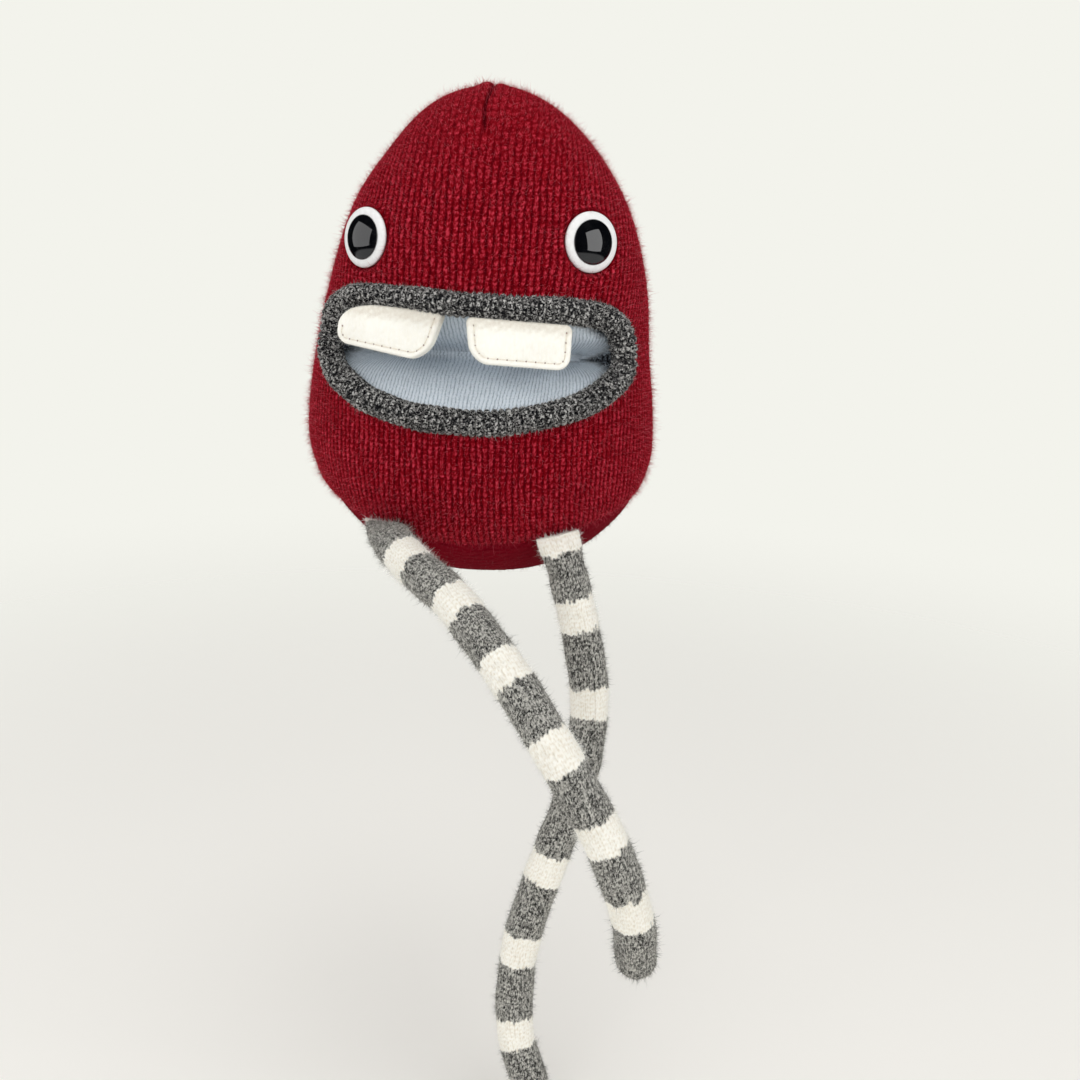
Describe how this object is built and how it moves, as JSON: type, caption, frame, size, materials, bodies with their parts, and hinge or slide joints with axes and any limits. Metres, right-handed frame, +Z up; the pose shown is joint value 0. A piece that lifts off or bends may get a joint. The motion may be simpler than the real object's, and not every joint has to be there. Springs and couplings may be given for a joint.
{
  "type": "plush monster",
  "caption": "Egg-shaped knitted soft toy with a wide lined mouth pocket, flap teeth, button eyes and long striped dangling legs.",
  "frame": {"origin": "middle of the flat base that the body sits on", "axes": "+Z up through the crown, -Y out of the face, +X to the right as the face is looked at"},
  "size_m": [0.1149, 0.1509, 0.3045],
  "materials": {
    "red_knit": "felted lambswool stockinette with a halo of loose fibres",
    "magenta_felt": "smooth felted wool",
    "lip_rib": "marled grey rib knit, rolled over",
    "lining_knit": "fine pale blue-grey stockinette",
    "white_felt": "felted cream wool with topstitching",
    "eye_white": "satin moulded disc",
    "eye_button": "polished black dome",
    "eye_washer": "moulded lock washer",
    "leg_knit": "felted stockinette in grey and cream stripes",
    "filling": "polyester fibre filling"
  },
  "bodies": {
    "body": {"front_panel": "red_knit", "back_panel": "red_knit", "base_panel": "magenta_felt", "body_stuffing": "filling", "mouth_roof_lining": "lining_knit", "mouth_floor_lining": "lining_knit", "lip_band": "lip_rib", "eye_left_white": "eye_white", "eye_left_button": "eye_button", "eye_left_washer": "eye_washer", "eye_right_white": "eye_white", "eye_right_button": "eye_button", "eye_right_washer": "eye_washer"},
    "left_tooth": {"tooth_left_front": "white_felt", "tooth_left_back": "white_felt"},
    "right_tooth": {"tooth_right_front": "white_felt", "tooth_right_back": "white_felt"},
    "left_leg": {"leg_left_cover": "leg_knit", "leg_left_stuffing": "filling"},
    "right_leg": {"leg_right_cover": "leg_knit", "leg_right_stuffing": "filling"}
  },
  "joints": [
    {"name": "left_leg_swing", "type": "hinge", "parent": "body", "child": "left_leg", "pos_m": [-0.02614, -0.03122, 0.01653], "axis": [-0.8558, 0.5174, 0], "range_deg": [-22, 20]},
    {"name": "right_leg_swing", "type": "hinge", "parent": "body", "child": "right_leg", "pos_m": [0.02646, -0.03175, 0.01612], "axis": [-0.8965, -0.4077, -0.1732], "range_deg": [-14, 22]},
    {"name": "left_tooth_flap", "type": "hinge", "parent": "body", "child": "left_tooth", "pos_m": [-0.023, -0.039, 0.07959], "axis": [-0.9717, 0.2339, 0.0327], "range_deg": [-8, 85], "stiffness_Nm_per_rad": 0.0002},
    {"name": "right_tooth_flap", "type": "hinge", "parent": "body", "child": "right_tooth", "pos_m": [0.01486, -0.04198, 0.07851], "axis": [-0.9689, -0.2379, 0.0686], "range_deg": [-8, 85], "stiffness_Nm_per_rad": 0.0002}
  ]
}
